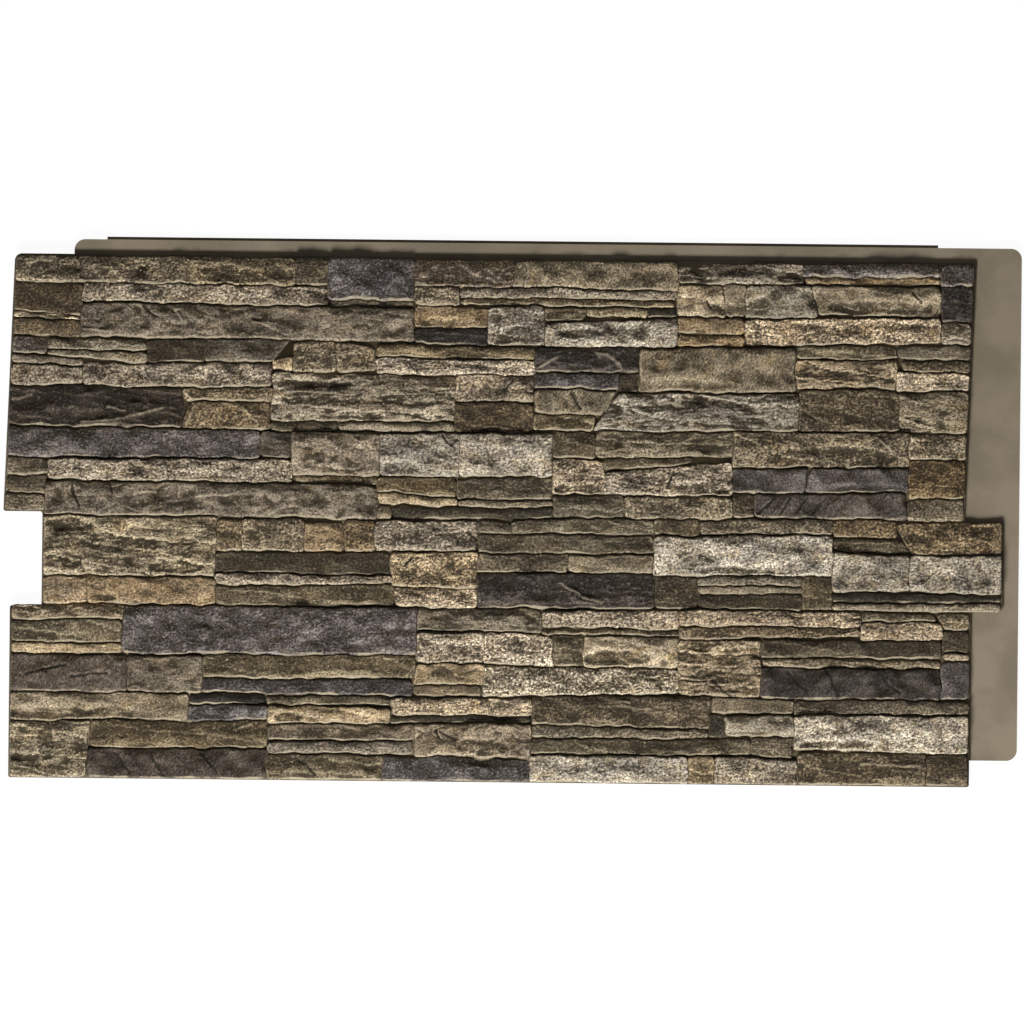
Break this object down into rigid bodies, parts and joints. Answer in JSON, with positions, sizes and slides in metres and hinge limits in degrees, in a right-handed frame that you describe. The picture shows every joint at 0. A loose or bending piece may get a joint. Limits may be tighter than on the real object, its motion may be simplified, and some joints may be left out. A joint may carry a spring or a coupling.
{
  "type": "faux stone wall panel",
  "caption": "Interlocking stacked ledge stone wall panel moulded in rigid foam, with a stone tongue, an edge socket and thin overlap flanges along the top and right edges.",
  "frame": {"origin": "middle of the panel's outline, on its flat back", "axes": "+X along the courses towards the tongue, +Y up the wall, +Z out of the wall from the back to the stones"},
  "size_m": [1.2214, 0.6514, 0.032],
  "materials": {
    "stone_panel": "matte painted stone, cream, tan, slate and umber"
  },
  "bodies": {
    "root": {"stone_panel": "stone_panel"}
  },
  "joints": []
}
